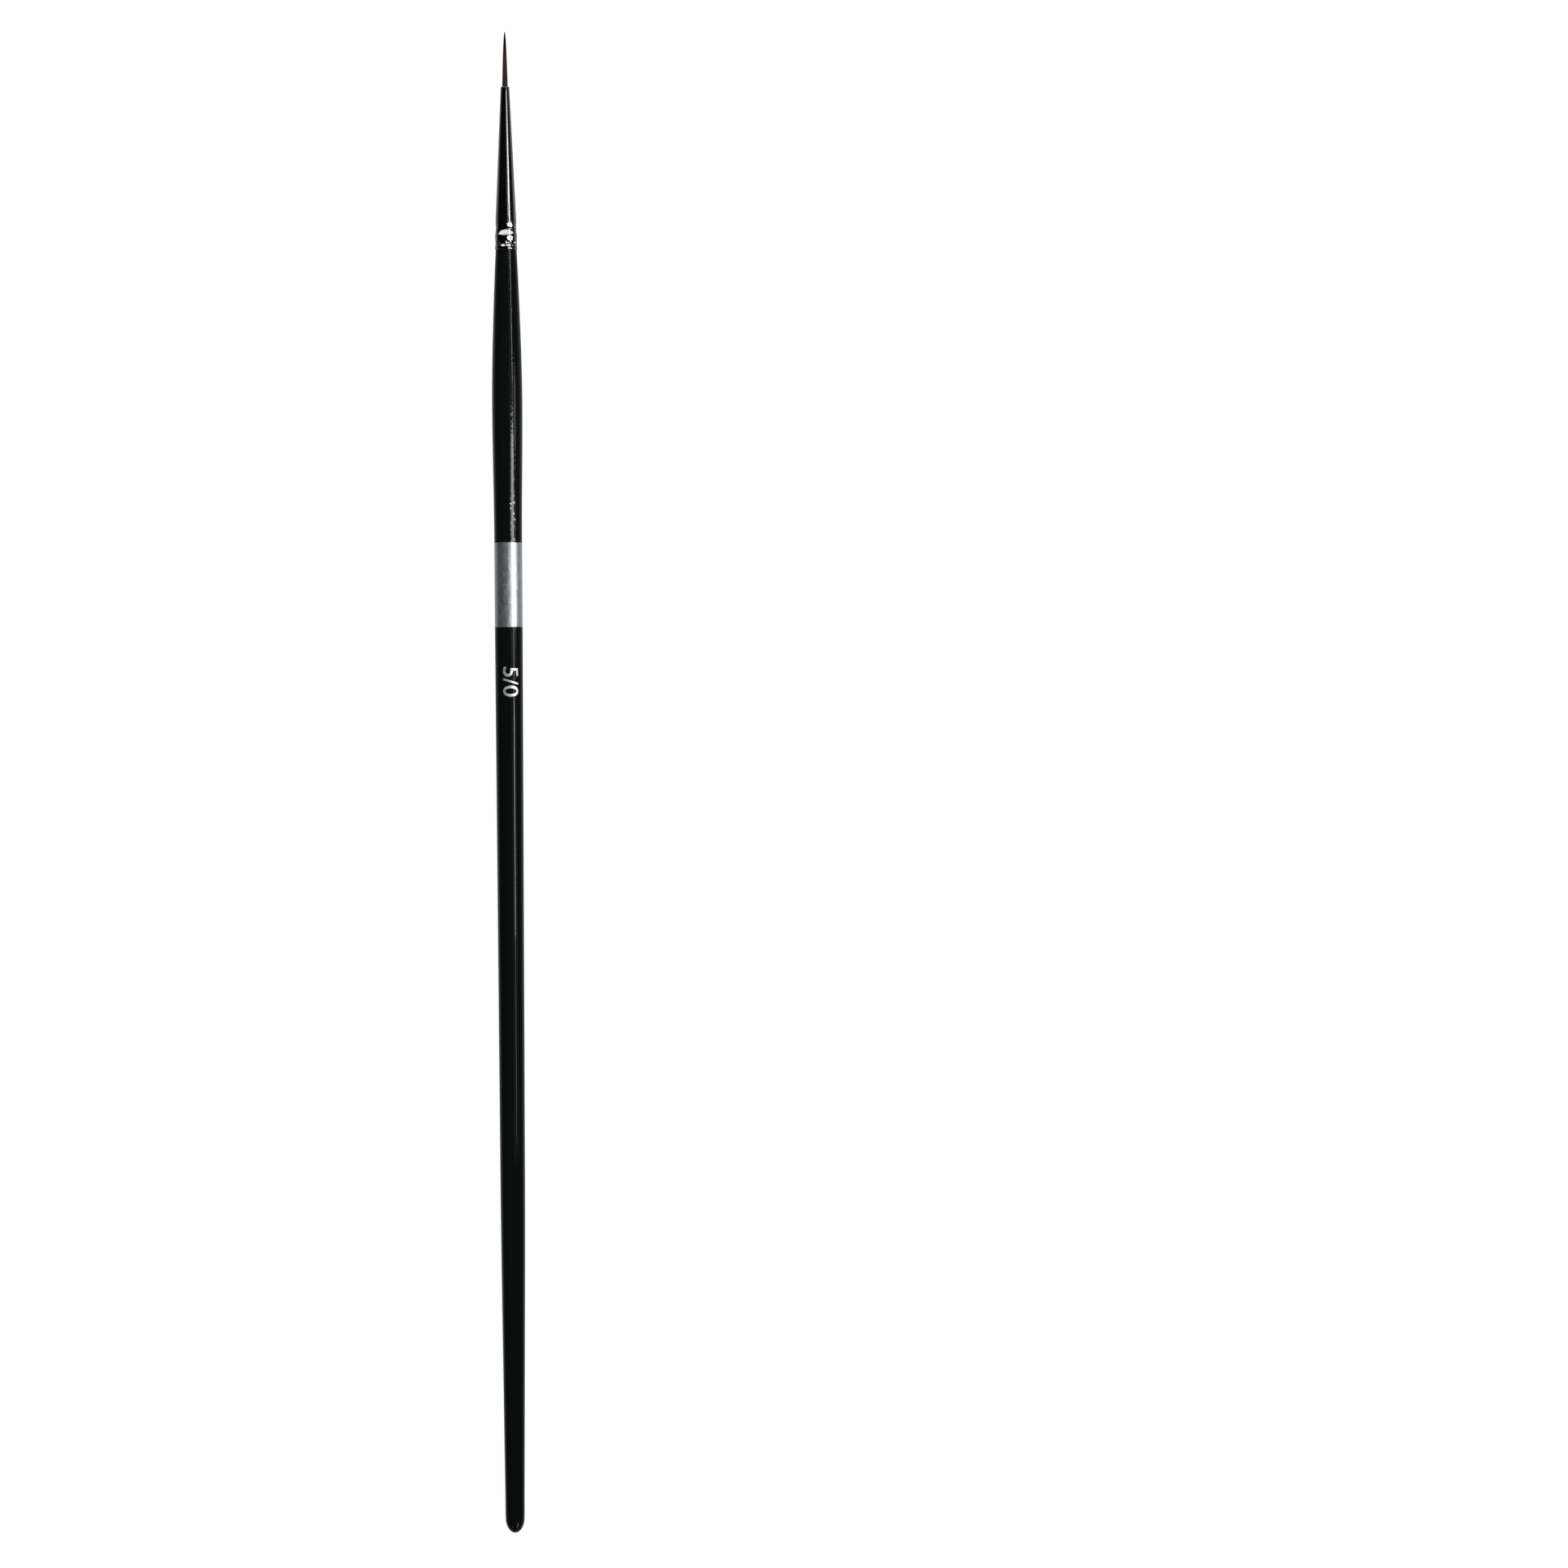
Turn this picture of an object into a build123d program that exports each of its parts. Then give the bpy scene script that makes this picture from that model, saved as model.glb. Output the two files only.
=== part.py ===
from build123d import *
import math
import os

# A fine detail brush, in millimetres. It lies on its side along X, hair tip towards +X,
# with its belly on the plane Z = 0 and its origin under the middle of its length.
# Stations run from the hair tip towards the tail, and radii are taken from the brush's axis.

# Hair: one straight tuft of tapered filaments, packed in rings around a middle one.
filament_diameter = 0.096
filament_gap = 0.004  # free space between neighbours in the tuft
filament_end_radius = 0.007
filament_rings = 3
ring_setback = 0.35  # how far behind the next ring's ends a ring's own ends lie
hair_out = 7.0  # hair in front of the ferrule
hair_root = 6.4  # hair inside the ferrule
tuft_fullness = 0.42  # power of the curve by which the tuft narrows to its point
tuft_sections = 5

# Thread wound round the hair near its root.
thread_diameter = 0.08
thread_lead = 0.09  # distance from one turn to the next
thread_turns = 8
thread_setback = 0.9  # from the root ends to the last turn

# Cement slug that holds root and thread in the ferrule.
cement_front = 2.6  # in front of the root ends
cement_back = 1.5  # behind the root ends

# Ferrule: a seamless metal cone with two crimps and a lip.
ferrule_wall = 0.19
mouth_gap = 0.012  # between the tuft and the ferrule's mouth
mouth_round = 0.06
cone_length = 16.9
cone_radius = 1.32
crimp_run = 1.0  # from the cone's end to the bottom of the front crimp
front_crimp_radius = 1.265
collar_run = 0.9  # from the front crimp to the top of the collar between the crimps
collar_radius = 1.4
rear_crimp_run = 0.8
rear_crimp_radius = 1.335
lip_run = 0.6
lip_radius = 1.405
lip_length = 0.43
lip_round = 0.08

# Handle: a turned wooden stick with its tenon glued into the ferrule. A black gloss coat covers it
# ahead of the silver band and another behind the band, and the band lies flush between the two.
butt_gap = 0.02  # between the ferrule's end and the front coat
shoulder_radius = 1.33
swell_run = 9.0  # from the front coat's front end to the swelling ahead of the belly
swell_radius = 1.71
belly_run = 10.6  # from there to the thickest place
belly_radius = 1.925
band_run = 17.45  # from the belly to the silver band
band_length = 10.7
band_radius = 1.765
knee_run = 74.6  # from the band to where the taper steepens
knee_radius = 1.555
knee_round = 2000.0
tail_run = 38.1
tail_radius = 1.205
tail_length = 1.9  # the rounded end
shoulder_rise = 0.055  # slope of the handle's outline where it leaves the ferrule
coat_thickness = 0.16
tenon_length = 9.0
tenon_chamfer = 0.2
glue_thickness = 0.09
film_gap = 0.01  # between any two pieces that are glued, coated or wound on each other

# What follows from them.
filament_radius = filament_diameter / 2
ring_pitch = filament_diameter + filament_gap
tuft_radius = filament_rings * ring_pitch + filament_radius
mouth_radius = tuft_radius + mouth_gap + ferrule_wall

crimps_length = crimp_run + collar_run + rear_crimp_run + lip_run
ferrule_length = cone_length + crimps_length + lip_length
front_length = swell_run + belly_run + band_run
rear_length = knee_run + tail_run + tail_length
overall_length = hair_out + ferrule_length + butt_gap + front_length + band_length + rear_length

tip_x = overall_length / 2
mouth_x = tip_x - hair_out
root_x = mouth_x - hair_root
cone_x = mouth_x - cone_length
front_crimp_x = cone_x - crimp_run
collar_x = front_crimp_x - collar_run
rear_crimp_x = collar_x - rear_crimp_run
lip_x = rear_crimp_x - lip_run
ferrule_end_x = lip_x - lip_length
shoulder_x = ferrule_end_x - butt_gap
swell_x = shoulder_x - swell_run
belly_x = swell_x - belly_run
band_front_x = belly_x - band_run
band_rear_x = band_front_x - band_length
knee_x = band_rear_x - knee_run
tail_x = knee_x - tail_run
tenon_tip_x = shoulder_x + tenon_length


def turned(outline):
    """A solid of revolution about the brush's axis from a closed outline of (station, radius) edges."""
    return revolve(make_face(outline), Axis.X)


def cone_radius_at(x):
    """The ferrule's outer radius at a station on its cone."""
    return mouth_radius + (cone_radius - mouth_radius) * (mouth_x - x) / cone_length


def ferrule_outline(inset, start_x):
    """The ferrule's outer line from a station on the cone to its end, moved towards the axis by inset."""
    cone = Line((start_x, cone_radius_at(start_x) - inset), (cone_x, cone_radius - inset))
    crimps = Spline(
        (cone_x, cone_radius - inset),
        (front_crimp_x, front_crimp_radius - inset),
        (collar_x, collar_radius - inset),
        (rear_crimp_x, rear_crimp_radius - inset),
        (lip_x, lip_radius - inset),
        tangents=[cone % 1, (-1, 0)],
    )
    lip = Line((lip_x, lip_radius - inset), (ferrule_end_x, lip_radius - inset))
    return [cone, crimps, lip]


def front_outline(inset):
    """The handle's outer line from the shoulder to the silver band, moved towards the axis by inset."""
    swelling = Spline(
        (shoulder_x, shoulder_radius - inset),
        (swell_x, swell_radius - inset),
        (belly_x, belly_radius - inset),
        tangents=[(-1, shoulder_rise), (-1, 0)],
    )
    slimming = Spline(
        (belly_x, belly_radius - inset),
        (band_front_x, band_radius - inset),
        tangents=[(-1, 0), (-1, 0)],
    )
    return [swelling, slimming]


def rear_outline(inset):
    """The handle's outer line from the silver band to the end of the tail, moved towards the axis by inset."""
    taper = FilletPolyline(
        (band_rear_x, band_radius - inset),
        (knee_x, knee_radius - inset),
        (tail_x, tail_radius - inset),
        radius=knee_round,
    )
    tail = EllipticalCenterArc(
        (tail_x, 0), tail_length - inset, tail_radius - inset, start_angle=90, arc_size=90
    )
    return [taper, tail]


def ring_of(outer, inner):
    """The solid between two outlines that run the same way, closed by straight ends."""
    front_end = Line(outer[0] @ 0, inner[0] @ 0)
    rear_end = Line(outer[-1] @ 1, inner[-1] @ 1)
    return turned([*outer, rear_end, *inner, front_end])


def outer_rim(tube, side):
    """The outer edge of a tube's end: side 0 is its rear end, and -1 its front end."""
    end_face = tube.faces().sort_by(Axis.X)[side]
    return end_face.edges().sort_by(SortBy.RADIUS)[-1]


def ferrule():
    """The metal cone, open at its mouth for the tuft and at its end for the tenon."""
    tube = ring_of(ferrule_outline(0, mouth_x), ferrule_outline(ferrule_wall, mouth_x))
    tube = fillet(outer_rim(tube, -1), mouth_round)
    return fillet(outer_rim(tube, 0), lip_round)


def front_coat():
    """The black coat from the ferrule to the silver band."""
    return ring_of(front_outline(0), front_outline(coat_thickness))


def rear_coat():
    """The black coat from the silver band over the rounded tail."""
    return ring_of(rear_outline(0), rear_outline(coat_thickness))


def silver_band():
    """The metallic coat between the two black ones, flush with both."""
    length = band_length - 2 * film_gap
    ring = Cylinder(band_radius, length) - Cylinder(band_radius - coat_thickness, length)
    return Pos((band_front_x + band_rear_x) / 2, 0, 0) * Rot(0, 90, 0) * ring


def handle_core():
    """The wooden stick with its tapered tenon, pressed in by the two crimps."""
    tenon_inset = ferrule_wall + glue_thickness + 2 * film_gap
    core_inset = coat_thickness + film_gap
    tenon = ferrule_outline(tenon_inset, tenon_tip_x - tenon_chamfer)
    front = front_outline(core_inset)
    rear = rear_outline(core_inset)
    tip_radius = cone_radius_at(tenon_tip_x) - tenon_inset - tenon_chamfer
    tip_face = Line((tenon_tip_x, 0), (tenon_tip_x, tip_radius))
    chamfer_line = Line((tenon_tip_x, tip_radius), tenon[0] @ 0)
    neck = Line(tenon[-1] @ 1, (shoulder_x, lip_radius - tenon_inset))
    shoulder = Line((shoulder_x, lip_radius - tenon_inset), front[0] @ 0)
    band_seat = Line(front[-1] @ 1, rear[0] @ 0)
    axis_line = Line(rear[-1] @ 1, (tenon_tip_x, 0))
    return turned([tip_face, chamfer_line, *tenon, neck, shoulder, *front, band_seat, *rear, axis_line])


def tenon_glue():
    """The film of glue between tenon and ferrule."""
    outer_inset = ferrule_wall + film_gap
    start_x = tenon_tip_x - tenon_chamfer
    return ring_of(
        ferrule_outline(outer_inset, start_x), ferrule_outline(outer_inset + glue_thickness, start_x)
    )


def root_cement():
    """The slug of cement, with a pocket for the root of the tuft and its thread."""
    front_x = root_x + cement_front
    back_x = root_x - cement_back
    inset = ferrule_wall + film_gap
    slug = turned(
        Polyline(
            (front_x, 0),
            (front_x, cone_radius_at(front_x) - inset),
            (back_x, cone_radius_at(back_x) - inset),
            (back_x, 0),
            close=True,
        )
    )
    pocket_radius = tuft_radius + thread_diameter + 2 * film_gap
    pocket_back_x = root_x - film_gap
    pocket = Cylinder(pocket_radius, front_x - pocket_back_x, align=(Align.CENTER, Align.CENTER, Align.MIN))
    return slug - Pos(pocket_back_x, 0, 0) * Rot(0, 90, 0) * pocket


def binding_thread():
    """The thread, wound in close turns round the tuft inside the cement."""
    turn_radius = tuft_radius + film_gap + thread_diameter / 2
    start_x = root_x + thread_setback
    path = Helix(thread_lead, thread_lead * thread_turns, turn_radius, (start_x, 0, 0), (1, 0, 0))
    section = Plane(path @ 0, z_dir=path % 0) * Circle(thread_diameter / 2)
    return sweep(section, path, is_frenet=True)


def tuft_share(station):
    """How wide the tuft is at a distance behind its tip, as a share of its width at the mouth."""
    return (station / hair_out) ** tuft_fullness


def filament(ring, angle):
    """One hair: a straight root in the ferrule and a free length that leans in and thins to its end."""
    end_station = ring * ring_setback
    free_length = hair_out - end_station
    across = Vector(0, math.cos(angle), math.sin(angle)) * (ring * ring_pitch)
    sections = []
    for step in range(tuft_sections + 1):
        back = (step / tuft_sections) ** 2
        station = end_station + free_length * back
        radius = filament_end_radius + (filament_radius - filament_end_radius) * back**tuft_fullness
        centre = Vector(tip_x - station, 0, 0) + across * tuft_share(station)
        sections.append(Plane(centre, x_dir=(0, 1, 0), z_dir=(-1, 0, 0)) * Circle(radius))
    free = loft(sections)
    root = extrude(sections[-1], hair_root)
    return free + root


def tuft():
    """Every filament by its name, counted from the middle outwards."""
    filaments = {}
    for ring in range(filament_rings + 1):
        count = max(1, 6 * ring)
        for place in range(count):
            name = f"filament_{len(filaments) + 1:02d}"
            filaments[name] = filament(ring, math.tau * place / count)
    return filaments


pieces = {
    "handle_core": handle_core(),
    "front_coat": front_coat(),
    "silver_band": silver_band(),
    "rear_coat": rear_coat(),
    "tenon_glue": tenon_glue(),
    "ferrule": ferrule(),
    "root_cement": root_cement(),
    "binding_thread": binding_thread(),
    **tuft(),
}

os.makedirs("parts", exist_ok=True)
for name, piece in pieces.items():
    export_step(Pos(0, 0, belly_radius) * piece, f"parts/{name}.step")
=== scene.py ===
import math
import random

import bpy
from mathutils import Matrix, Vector


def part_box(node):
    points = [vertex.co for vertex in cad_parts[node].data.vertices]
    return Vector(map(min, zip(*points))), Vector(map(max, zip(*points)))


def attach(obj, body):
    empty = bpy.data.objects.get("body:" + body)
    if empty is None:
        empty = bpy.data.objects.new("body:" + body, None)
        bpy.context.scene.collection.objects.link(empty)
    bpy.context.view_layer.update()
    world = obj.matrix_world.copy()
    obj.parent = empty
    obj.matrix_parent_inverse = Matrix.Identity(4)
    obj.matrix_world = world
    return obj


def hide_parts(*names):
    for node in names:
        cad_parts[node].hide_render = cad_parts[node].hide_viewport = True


# A fine detail brush lying on a pale table, seen from straight above with its hair up the picture.
# The brush's axis runs along X at axisHeight. A station is a place along X, in metres.
mm = 0.001
random.seed(50)

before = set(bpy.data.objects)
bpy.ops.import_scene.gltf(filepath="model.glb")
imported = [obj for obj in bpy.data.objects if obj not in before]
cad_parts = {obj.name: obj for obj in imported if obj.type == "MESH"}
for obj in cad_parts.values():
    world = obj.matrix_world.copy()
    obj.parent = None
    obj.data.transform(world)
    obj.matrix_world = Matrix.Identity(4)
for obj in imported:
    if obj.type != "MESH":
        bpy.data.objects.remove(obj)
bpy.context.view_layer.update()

bandLow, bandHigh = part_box("silver_band")
tuftLow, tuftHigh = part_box("filament_01")
ferruleLow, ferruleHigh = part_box("ferrule")
frontLow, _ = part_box("front_coat")
rearLow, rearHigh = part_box("rear_coat")
axisHeight = (bandLow.z + bandHigh.z) / 2
print("frame loaded, axis at", round(axisHeight / mm, 4), "mm")


photo = {
    "side": 1932,  # the picture is square
    "tip": (621.7, 39.0),  # pixel of the hair's tip
    "tail": (634.9, 1888.5),  # pixel of the end of the tail
    "sensor": 36.0,
    "distance": 0.8,
    "clip": (0.01, 50),
}


def placeCamera():
    across = photo["tail"][0] - photo["tip"][0]
    down = photo["tail"][1] - photo["tip"][1]
    metresPerPixel = (tuftHigh.x - rearLow.x) / math.hypot(across, down)
    lean = math.atan2(across, down)
    turn = -math.pi / 2 - lean  # up the picture is +X
    right = Vector((math.cos(turn), math.sin(turn), 0))
    up = Vector((-math.sin(turn), math.cos(turn), 0))
    middle = [(photo["tip"][i] + photo["tail"][i]) / 2 - photo["side"] / 2 for i in range(2)]
    brushMiddle = Vector(((tuftHigh.x + rearLow.x) / 2, 0, axisHeight))
    lookAt = brushMiddle - right * middle[0] * metresPerPixel + up * middle[1] * metresPerPixel
    place = lookAt + Vector((0, 0, photo["distance"]))
    bpy.ops.object.camera_add(location=place, rotation=(0, 0, turn))
    camera = bpy.context.object
    camera.data.sensor_width = photo["sensor"]
    camera.data.lens = photo["sensor"] * photo["distance"] / (photo["side"] * metresPerPixel)
    camera.data.clip_start, camera.data.clip_end = photo["clip"]
    bpy.context.scene.camera = camera


placeCamera()


class Val:  # a number, colour or vector on its way through a material
    def __init__(self, finish, socket):
        self.finish = finish
        self.socket = socket

    def __add__(self, other):
        return self.finish.node("ShaderNodeMath", {"operation": "ADD"}, {0: self, 1: other})

    def __mul__(self, other):
        return self.finish.node("ShaderNodeMath", {"operation": "MULTIPLY"}, {0: self, 1: other})

    def out(self, name):  # another output of the same node
        return Val(self.finish, self.socket.node.outputs[name])

    def step(self, start, end, low=0.0, high=1.0):  # smooth ramp from low at start to high at end
        return self.finish.node(
            "ShaderNodeMapRange",
            {"interpolation_type": "SMOOTHSTEP"},
            {0: self, 1: start, 2: end, 3: low, 4: high},
        )


class Finish:  # one material, built node by node
    def __init__(self, name):
        self.material = bpy.data.materials.new(name)
        self.material.use_nodes = True
        self.tree = self.material.node_tree
        self.tree.nodes.clear()
        output = self.tree.nodes.new("ShaderNodeOutputMaterial")
        self.shader = self.tree.nodes.new("ShaderNodeBsdfPrincipled")
        self.tree.links.new(self.shader.outputs[0], output.inputs["Surface"])

    def node(self, kind, settings=None, inputs=None, out=0):
        made = self.tree.nodes.new(kind)
        for name, value in (settings or {}).items():
            if name == "stops":
                ramp = made.color_ramp.elements
                while len(ramp) < len(value):
                    ramp.new(0.5)
                for element, (place, colour) in zip(ramp, value):
                    element.position = place
                    element.color = (*colour, 1)
            else:
                setattr(made, name, value)
        for name, value in (inputs or {}).items():
            self.put(made.inputs[name], value)
        return Val(self, made.outputs[out])

    def put(self, socket, value):
        if isinstance(value, Val):
            self.tree.links.new(value.socket, socket)
        else:
            socket.default_value = value

    def set(self, **values):  # sockets of the shader, with _ for a space
        for name, value in values.items():
            self.put(self.shader.inputs[name.replace("_", " ")], value)

    def place(self, scale=(1, 1, 1), centre=(0, 0, 0)):  # Object coordinates, about a centre
        coords = self.node("ShaderNodeTexCoord", out="Object")
        moved = self.node("ShaderNodeVectorMath", {"operation": "SUBTRACT"}, {0: coords, 1: centre})
        return self.node("ShaderNodeVectorMath", {"operation": "MULTIPLY"}, {0: moved, 1: scale})

    def vector(self, operation, *values):
        return self.node("ShaderNodeVectorMath", {"operation": operation}, dict(enumerate(values)))

    def station(self):  # metres along the brush
        coords = self.node("ShaderNodeTexCoord", out="Object")
        return self.node("ShaderNodeSeparateXYZ", inputs={0: coords})

    # noise: its lumps per metre, its layers and their share, and a stretch that is 1 for none
    def cloud(self, scale, detail=2.0, roughness=0.5, stretch=(1, 1, 1)):
        vector = self.place(stretch)
        return self.node(
            "ShaderNodeTexNoise",
            {"noise_dimensions": "3D"},
            {"Vector": vector, "Scale": scale, "Detail": detail, "Roughness": roughness},
        )

    def blend(self, factor, first, second):  # two colours
        return self.node(
            "ShaderNodeMix",
            {"data_type": "RGBA"},
            {0: factor, 6: first, 7: second},
            out=2,
        )

    def ramp(self, factor, stops):
        return self.node("ShaderNodeValToRGB", {"stops": stops}, {0: factor})

    def bump(self, height, distance, under=None):
        inputs = {"Height": height, "Distance": distance}
        if under is not None:
            inputs["Normal"] = under
        return self.node("ShaderNodeBump", inputs=inputs)


def colour(red, green, blue):
    return (red, green, blue, 1)


def grey(tone):
    return colour(tone, tone, tone)


blackLacquerLook = {
    "base": colour(0.0048, 0.0074, 0.0070),
    "deep": colour(0.0036, 0.0054, 0.0054),
    "depthCloud": {"scale": 60},
    "roughness": 0.03,
    "gloss": 0.36,
    "smudge": 0.05,
    "smudgeCloud": {"scale": 130, "detail": 4, "roughness": 0.6, "stretch": (0.5, 1, 1)},
    "smudgeEdge": (0.45, 0.75),
    "peelCloud": {"scale": 2600, "detail": 2, "roughness": 0.45, "stretch": (0.7, 1, 1)},
    "peelHeight": 5.5e-6,
    # the long waves under the peel
    "swellCloud": {"scale": 260, "detail": 1, "roughness": 0.4, "stretch": (0.3, 1, 1)},
    "swellShare": 0.6,
    "calm": 0.22,  # share of the peel behind the band
    "tailCalm": 0.08,  # and at the tail
}


def blackLacquer():
    look = blackLacquerLook
    finish = Finish("blackLacquer")
    station = finish.station()
    front = station.step(bandLow.x, bandHigh.x)
    rear = station.step(rearLow.x, bandLow.x, look["tailCalm"], look["calm"])
    peel = finish.cloud(**look["peelCloud"])
    swell = finish.cloud(**look["swellCloud"])
    height = peel * (front * (1 - look["calm"]) + rear) + swell * look["swellShare"]
    smudge = finish.cloud(**look["smudgeCloud"]).step(*look["smudgeEdge"])
    depth = finish.cloud(**look["depthCloud"])
    finish.set(
        Base_Color=finish.blend(depth, look["deep"], look["base"]),
        Roughness=smudge * look["smudge"] + look["roughness"],
        Specular_IOR_Level=look["gloss"],
        Normal=finish.bump(height, look["peelHeight"]),
    )
    return finish.material


nickelLook = {
    "base": colour(0.38, 0.376, 0.368),
    "warm": colour(0.34, 0.27, 0.21),
    "roughness": 0.075,
    "hazeCloud": {"scale": 420, "detail": 4, "roughness": 0.65, "stretch": (0.35, 1, 1)},
    "hazeEdge": (0.42, 0.8),
    "streak": 0.09,
    "stainCloud": {"scale": 900},
    "stainEdge": (0.62, 0.74),
    "stainShare": 0.12,  # on the cone, and crimpStain more on the crimps
    "crimpStain": 0.75,
    "crimpsFront": (0.0706, 0.0698),  # stations between which the crimped look sets in
    "crimpsRear": (0.0679, 0.0683),
    "drawCloud": {"scale": 2600, "detail": 3, "roughness": 0.6, "stretch": (0.03, 1, 1)},
    "drawShine": 0.05,
    "drawHeight": 1.1e-6,
    "pitCloud": {"scale": 3800},
    "pitShare": 0.25,
    "dentCloud": {"scale": 2300, "detail": 1, "roughness": 0.4},
    "dentHeight": 1.3e-5,
}


def nickelPlate():
    look = nickelLook
    finish = Finish("nickelPlate")
    drawn = finish.cloud(**look["drawCloud"])
    haze = finish.cloud(**look["hazeCloud"]).step(*look["hazeEdge"])
    stain = finish.cloud(**look["stainCloud"]).step(*look["stainEdge"])
    station = finish.station()
    crimps = station.step(*look["crimpsFront"]) * station.step(*look["crimpsRear"])
    warmth = stain * (crimps * look["crimpStain"] + look["stainShare"])
    pits = finish.cloud(**look["pitCloud"]) * look["pitShare"] * crimps
    dents = finish.bump(finish.cloud(**look["dentCloud"]) * crimps, look["dentHeight"])
    finish.set(
        Base_Color=finish.blend(warmth, look["base"], look["warm"]),
        Metallic=1.0,
        Roughness=haze * look["streak"] + drawn * look["drawShine"] + look["roughness"],
        Normal=finish.bump(drawn + pits, look["drawHeight"], under=dents),
    )
    return finish.material


silverFoilLook = {
    "bright": colour(0.93, 0.95, 0.96),
    "dull": colour(0.58, 0.67, 0.71),
    "metal": 1.0,
    "roughness": 0.345,
    "unevenShine": 0.08,
    "flakeScale": 13000,
    "flakeTilt": 0.2,
    "flakeShare": 0.6,  # of the tone, and the mottle has the rest
    "mottleCloud": {"scale": 1500, "detail": 3, "roughness": 0.6, "stretch": (0.6, 1, 1)},
    "grainCloud": {"scale": 5200, "roughness": 0.6},
    "grainHeight": 4e-6,
}

numberFoilLook = {
    **silverFoilLook,
    "bright": colour(0.97, 0.97, 0.97),
    "dull": colour(0.88, 0.89, 0.90),
    "metal": 0.8,
    "roughness": 0.38,
    "flakeTilt": 0.12,
    "grainHeight": 1e-6,
}


def silverFoil(name, look):
    finish = Finish(name)
    flake = finish.node(
        "ShaderNodeTexVoronoi",
        {"feature": "F1"},
        {"Vector": finish.place(), "Scale": look["flakeScale"]},
    )
    flakeTone = finish.node("ShaderNodeSeparateColor", inputs={0: flake.out("Color")})
    mottle = finish.cloud(**look["mottleCloud"])
    grain = finish.cloud(**look["grainCloud"])
    tilt, shine, share = look["flakeTilt"], look["unevenShine"], look["flakeShare"]
    tone = flakeTone * share + mottle * (1 - share)
    level = finish.node("ShaderNodeNewGeometry", out="Normal")
    under = finish.vector("SUBTRACT", level, (tilt / 2, tilt / 2, tilt / 2))
    lean = finish.vector("MULTIPLY_ADD", flake.out("Color"), (tilt, tilt, tilt), under)
    finish.set(
        Base_Color=finish.blend(tone, look["dull"], look["bright"]),
        Metallic=look["metal"],
        Roughness=flakeTone * shine + mottle * shine + look["roughness"],
        Normal=finish.bump(grain, look["grainHeight"], under=finish.vector("NORMALIZE", lean)),
    )
    return finish.material


hairLook = {
    "stops": (  # from the ferrule's mouth to the tip
        (0.00, (0.036, 0.034, 0.033)),
        (0.16, (0.028, 0.024, 0.023)),
        (0.34, (0.049, 0.028, 0.019)),
        (0.50, (0.048, 0.021, 0.015)),
        (0.60, (0.033, 0.012, 0.010)),
        (0.69, (0.007, 0.003, 0.003)),
        (0.76, (0.001, 0.001, 0.001)),
    ),
    "dark": colour(0.5, 0.5, 0.5),  # tints of the strands
    "light": colour(1.6, 1.5, 1.35),
    "strandCloud": {"scale": 26000, "roughness": 0.6, "stretch": (0.012, 1, 1)},
    "strandEdge": (0.35, 0.75),
    "strandHeight": 3e-6,
    "roughness": 0.42,
    "strandRoughness": 0.2,
    "tipRoughness": 0.15,  # added towards the tip
    "gloss": 0.2,
}


def tuftHair():
    look = hairLook
    finish = Finish("tuftHair")
    along = finish.station().step(ferruleHigh.x, tuftHigh.x)
    evenlyAlong = finish.node(
        "ShaderNodeMapRange",
        {"interpolation_type": "LINEAR"},
        {0: finish.station(), 1: ferruleHigh.x, 2: tuftHigh.x, 3: 0, 4: 1},
    )
    strands = finish.cloud(**look["strandCloud"])
    base = finish.ramp(evenlyAlong, look["stops"])
    tint = finish.blend(strands.step(*look["strandEdge"]), look["dark"], look["light"])
    uneven = strands * look["strandRoughness"] + along * look["tipRoughness"]
    finish.set(
        Base_Color=finish.vector("MULTIPLY", base, tint),
        Roughness=uneven + look["roughness"],
        Specular_IOR_Level=look["gloss"],
        Normal=finish.bump(strands, look["strandHeight"]),
    )
    return finish.material


turnedWoodLook = {
    "stops": (  # from the dark late wood to the pale early wood
        (0.1, (0.42, 0.25, 0.12)),
        (0.5, (0.62, 0.42, 0.23)),
        (0.9, (0.76, 0.58, 0.36)),
    ),
    "heart": (0, 0.004, 0.0),  # middle of the tree's rings
    "ringScale": 420,
    "ringShare": 0.45,
    "ringWaver": 1.2,
    "grainCloud": {"scale": 2400, "detail": 4, "roughness": 0.6, "stretch": (0.04, 1, 1)},
    "grainHeight": 6e-6,
    "grainRoughness": 0.2,
    "roughness": 0.5,
}


def turnedWood():
    look = turnedWoodLook
    finish = Finish("turnedWood")
    grain = finish.cloud(**look["grainCloud"])
    rings = finish.node(
        "ShaderNodeTexWave",
        {"wave_type": "RINGS", "rings_direction": "X", "wave_profile": "SAW"},
        {
            "Vector": finish.place(centre=look["heart"]),
            "Scale": look["ringScale"],
            "Distortion": look["ringWaver"],
            "Detail": 2,
        },
    )
    tone = grain * (1 - look["ringShare"]) + rings * look["ringShare"]
    finish.set(
        Base_Color=finish.ramp(tone, look["stops"]),
        Roughness=grain * look["grainRoughness"] + look["roughness"],
        Normal=finish.bump(grain, look["grainHeight"]),
    )
    return finish.material


glueLook = {  # what both glues share
    "roughness": 0.3,
    "cloudRoughness": 0.25,
    "height": 8e-6,
}

woodGlueLook = {
    **glueLook,
    "dark": colour(0.55, 0.42, 0.20),
    "light": colour(0.80, 0.68, 0.42),
    "cloud": {"scale": 900, "detail": 3, "roughness": 0.6},
    "bubbleScale": 2700,
}

rootCementLook = {
    **glueLook,
    "dark": colour(0.36, 0.25, 0.10),
    "light": colour(0.62, 0.47, 0.24),
    "cloud": {"scale": 2200, "detail": 3, "roughness": 0.6},
    "bubbleScale": 6600,
}


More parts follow.
